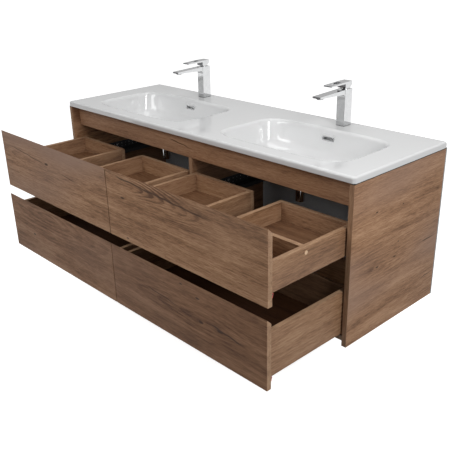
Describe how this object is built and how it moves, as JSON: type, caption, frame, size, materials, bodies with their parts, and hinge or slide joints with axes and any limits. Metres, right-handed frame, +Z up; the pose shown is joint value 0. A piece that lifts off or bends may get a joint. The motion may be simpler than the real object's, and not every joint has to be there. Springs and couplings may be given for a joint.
{
  "type": "bathroom vanity cabinet",
  "caption": "Wall-hung wood-grain vanity with handle-less drawers on full-extension slides, a white basin top, square lever mixers and push-open drains.",
  "frame": {"origin": "on the wall plane, at the middle of the four wall-fixing holes in the hanging rail", "axes": "+X along the wall to the right as seen from the front, +Y into the wall, +Z up; the drawers open towards -Y"},
  "size_m": [1.5, 0.825, 0.7095],
  "materials": {
    "cabinet_laminate": "matt oak-grain laminate on chipboard",
    "drawer_laminate": "matt oak-grain laminate on chipboard",
    "back_grey": "dark grey lacquered fibreboard",
    "basin_glaze": "glossy white glaze",
    "chrome_plate": "polished chrome plate",
    "slide_black": "black coated steel",
    "zinc": "zinc-plated steel",
    "seal_rubber": "black rubber",
    "release_red": "moulded red plastic",
    "cap_beige": "moulded beige plastic"
  },
  "bodies": {
    "cabinet": {"side_panel_left": "cabinet_laminate", "side_panel_right": "cabinet_laminate", "centre_partition": "cabinet_laminate", "bottom_panel": "cabinet_laminate", "top_front_rail": "cabinet_laminate", "middle_front_rail": "cabinet_laminate", "hanging_rail": "cabinet_laminate", "back_board": "back_grey", "basin_top": "basin_glaze", "overflow_trims": "chrome_plate", "drain_bodies": "chrome_plate", "drain_nuts": "chrome_plate", "tap_body_left": "chrome_plate", "tap_body_right": "chrome_plate", "tap_aerators": "chrome_plate", "tap_gaskets": "seal_rubber", "tap_fixings": "zinc", "cabinet_rails_upper": "slide_black", "cabinet_rails_lower": "slide_black", "rail_screws": "zinc"},
    "upper_left_drawer": {"upper_left_front": "cabinet_laminate", "upper_left_sides": "drawer_laminate", "upper_left_back": "drawer_laminate", "upper_left_well_walls": "drawer_laminate", "upper_left_divider": "drawer_laminate", "upper_left_bottom": "drawer_laminate", "upper_left_runners": "slide_black", "upper_left_caps": "cap_beige"},
    "upper_left_middle_slides": {"upper_left_slides": "slide_black"},
    "upper_left_release_levers": {"upper_left_releases": "release_red"},
    "upper_right_drawer": {"upper_right_front": "cabinet_laminate", "upper_right_sides": "drawer_laminate", "upper_right_back": "drawer_laminate", "upper_right_well_walls": "drawer_laminate", "upper_right_divider": "drawer_laminate", "upper_right_bottom": "drawer_laminate", "upper_right_runners": "slide_black", "upper_right_caps": "cap_beige"},
    "upper_right_middle_slides": {"upper_right_slides": "slide_black"},
    "upper_right_release_levers": {"upper_right_releases": "release_red"},
    "lower_left_drawer": {"lower_left_front": "cabinet_laminate", "lower_left_sides": "drawer_laminate", "lower_left_back": "drawer_laminate", "lower_left_bottom": "drawer_laminate", "lower_left_runners": "slide_black"},
    "lower_left_middle_slides": {"lower_left_slides": "slide_black"},
    "lower_left_release_levers": {"lower_left_releases": "release_red"},
    "lower_right_drawer": {"lower_right_front": "cabinet_laminate", "lower_right_sides": "drawer_laminate", "lower_right_back": "drawer_laminate", "lower_right_bottom": "drawer_laminate", "lower_right_runners": "slide_black"},
    "lower_right_middle_slides": {"lower_right_slides": "slide_black"},
    "lower_right_release_levers": {"lower_right_releases": "release_red"},
    "left_tap_cartridge": {"tap_cartridge_left": "chrome_plate"},
    "left_tap_handle": {"tap_handle_left": "chrome_plate"},
    "left_drain_plug": {"drain_plug_left": "chrome_plate"},
    "right_tap_cartridge": {"tap_cartridge_right": "chrome_plate"},
    "right_tap_handle": {"tap_handle_right": "chrome_plate"},
    "right_drain_plug": {"drain_plug_right": "chrome_plate"}
  },
  "joints": [
    {"name": "upper_left_drawer_travel", "type": "slide", "parent": "cabinet", "child": "upper_left_drawer", "axis": [0, -1, 0], "range_m": [-0.329, 0.021]},
    {"name": "upper_left_slide_travel", "type": "slide", "parent": "cabinet", "child": "upper_left_middle_slides", "axis": [0, -1, 0], "range_m": [-0.1645, 0.0105]},
    {"name": "upper_left_release", "type": "hinge", "parent": "upper_left_drawer", "child": "upper_left_release_levers", "pos_m": [-0.37, -0.798, -0.193], "axis": [-1, 0, 0], "range_deg": [0, 15], "stiffness_Nm_per_rad": 0.05, "springref_deg": -17.19},
    {"name": "upper_right_drawer_travel", "type": "slide", "parent": "cabinet", "child": "upper_right_drawer", "axis": [0, -1, 0], "range_m": [-0.329, 0.021]},
    {"name": "upper_right_slide_travel", "type": "slide", "parent": "cabinet", "child": "upper_right_middle_slides", "axis": [0, -1, 0], "range_m": [-0.1645, 0.0105]},
    {"name": "upper_right_release", "type": "hinge", "parent": "upper_right_drawer", "child": "upper_right_release_levers", "pos_m": [0.37, -0.798, -0.193], "axis": [-1, 0, 0], "range_deg": [0, 15], "stiffness_Nm_per_rad": 0.05, "springref_deg": -17.19},
    {"name": "lower_left_drawer_travel", "type": "slide", "parent": "cabinet", "child": "lower_left_drawer", "axis": [0, -1, 0], "range_m": [-0.332, 0.018]},
    {"name": "lower_left_slide_travel", "type": "slide", "parent": "cabinet", "child": "lower_left_middle_slides", "axis": [0, -1, 0], "range_m": [-0.166, 0.009]},
    {"name": "lower_left_release", "type": "hinge", "parent": "lower_left_drawer", "child": "lower_left_release_levers", "pos_m": [-0.37, -0.801, -0.458], "axis": [-1, 0, 0], "range_deg": [0, 15], "stiffness_Nm_per_rad": 0.05, "springref_deg": -17.19},
    {"name": "lower_right_drawer_travel", "type": "slide", "parent": "cabinet", "child": "lower_right_drawer", "axis": [0, -1, 0], "range_m": [-0.332, 0.018]},
    {"name": "lower_right_slide_travel", "type": "slide", "parent": "cabinet", "child": "lower_right_middle_slides", "axis": [0, -1, 0], "range_m": [-0.166, 0.009]},
    {"name": "lower_right_release", "type": "hinge", "parent": "lower_right_drawer", "child": "lower_right_release_levers", "pos_m": [0.37, -0.801, -0.458], "axis": [-1, 0, 0], "range_deg": [0, 15], "stiffness_Nm_per_rad": 0.05, "springref_deg": -17.19},
    {"name": "left_tap_temperature", "type": "hinge", "parent": "cabinet", "child": "left_tap_cartridge", "pos_m": [-0.37, -0.053, 0.1925], "axis": [0, 0, 1], "range_deg": [-45, 45]},
    {"name": "left_tap_lift", "type": "hinge", "parent": "left_tap_cartridge", "child": "left_tap_handle", "pos_m": [-0.37, -0.053, 0.199], "axis": [-1, 0, 0], "range_deg": [0, 25]},
    {"name": "left_drain_press", "type": "slide", "parent": "cabinet", "child": "left_drain_plug", "axis": [0, 0, -1], "range_m": [0, 0.008], "stiffness_N_per_m": 400, "springref_m": -0.012},
    {"name": "right_tap_temperature", "type": "hinge", "parent": "cabinet", "child": "right_tap_cartridge", "pos_m": [0.37, -0.053, 0.1925], "axis": [0, 0, 1], "range_deg": [-45, 45]},
    {"name": "right_tap_lift", "type": "hinge", "parent": "right_tap_cartridge", "child": "right_tap_handle", "pos_m": [0.37, -0.053, 0.199], "axis": [-1, 0, 0], "range_deg": [0, 25]},
    {"name": "right_drain_press", "type": "slide", "parent": "cabinet", "child": "right_drain_plug", "axis": [0, 0, -1], "range_m": [0, 0.008], "stiffness_N_per_m": 400, "springref_m": -0.012}
  ],
  "couplings": [
    {"joint": "upper_left_slide_travel", "follows": "upper_left_drawer_travel", "ratio": 0.5},
    {"joint": "upper_right_slide_travel", "follows": "upper_right_drawer_travel", "ratio": 0.5},
    {"joint": "lower_left_slide_travel", "follows": "lower_left_drawer_travel", "ratio": 0.5},
    {"joint": "lower_right_slide_travel", "follows": "lower_right_drawer_travel", "ratio": 0.5}
  ]
}
